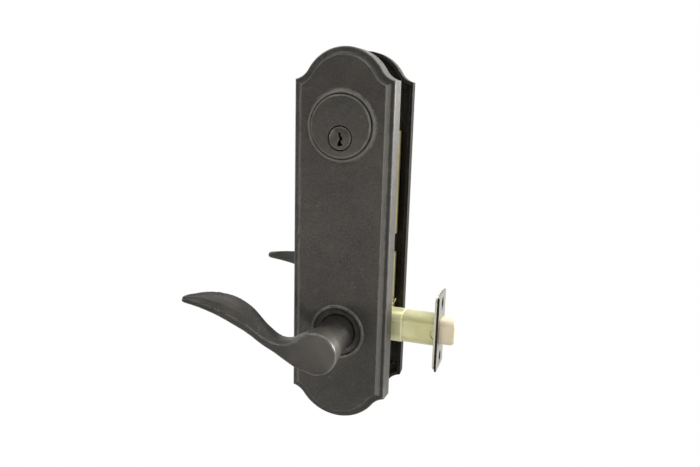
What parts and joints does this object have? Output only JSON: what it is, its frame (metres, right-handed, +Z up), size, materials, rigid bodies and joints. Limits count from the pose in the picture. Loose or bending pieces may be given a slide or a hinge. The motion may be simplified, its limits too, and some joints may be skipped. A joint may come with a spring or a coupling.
{
  "type": "entry door lock set",
  "caption": "Keyed door entry lock with two arched plates, a wave lever on each side, a key cylinder, a turn piece and a spring latch.",
  "frame": {"origin": "where the lever axis crosses the middle of the door", "axes": "+Z up along the plates, +X toward the door edge and the latch bolt, -Y to the outside of the door"},
  "size_m": [0.186, 0.155, 0.267],
  "materials": {
    "dark_bronze": "fine pitted satin",
    "yellow_zinc": "yellow chromate plating",
    "pale_zinc": "pale yellow plating",
    "satin_nickel": "satin nickel plating",
    "bolt_metal": "matt nickel plating",
    "plain_steel": "plain steel"
  },
  "bodies": {
    "lock_body": {"exterior_plate": "dark_bronze", "interior_plate": "dark_bronze", "cylinder_body": "dark_bronze", "exterior_bearing": "plain_steel", "interior_bearing": "plain_steel", "exterior_chassis": "yellow_zinc", "interior_chassis": "yellow_zinc", "exterior_return_spring": "yellow_zinc", "interior_return_spring": "yellow_zinc", "plate_screw_upper": "dark_bronze", "plate_screw_lower": "dark_bronze", "chassis_screw_upper": "yellow_zinc", "chassis_screw_lower": "yellow_zinc", "cylinder_bolt_left": "yellow_zinc", "cylinder_bolt_right": "yellow_zinc", "through_bolt_upper": "yellow_zinc", "through_bolt_lower": "yellow_zinc", "latch_case": "pale_zinc", "latch_backing": "pale_zinc", "latch_face": "satin_nickel"},
    "lever_set": {"exterior_lever": "dark_bronze", "interior_lever": "dark_bronze", "spindle": "plain_steel", "latch_hub": "plain_steel", "exterior_set_screw": "plain_steel", "interior_set_screw": "plain_steel", "exterior_clip": "plain_steel", "interior_clip": "plain_steel"},
    "spring_bolt": {"latch_bolt": "bolt_metal", "draw_bar": "plain_steel", "latch_spring": "plain_steel"},
    "key_turn": {"key_plug": "dark_bronze", "turn_blade": "plain_steel", "turn_piece": "dark_bronze"}
  },
  "joints": [
    {"name": "lever_turn", "type": "hinge", "parent": "lock_body", "child": "lever_set", "pos_m": [0, 0, 0], "axis": [0, -1, 0], "range_deg": [0, 45], "stiffness_Nm_per_rad": 0.8, "springref_deg": -34.38},
    {"name": "bolt_slide", "type": "slide", "parent": "lock_body", "child": "spring_bolt", "axis": [-1, 0, 0], "range_m": [0, 0.0127], "stiffness_N_per_m": 250, "springref_m": -0.008},
    {"name": "key_turn", "type": "hinge", "parent": "lock_body", "child": "key_turn", "pos_m": [0, 0, 0.1389], "axis": [0, 1, 0], "range_deg": [-90, 90]}
  ],
  "couplings": [
    {"joint": "bolt_slide", "follows": "lever_turn", "m_per_rad": 0.016}
  ]
}
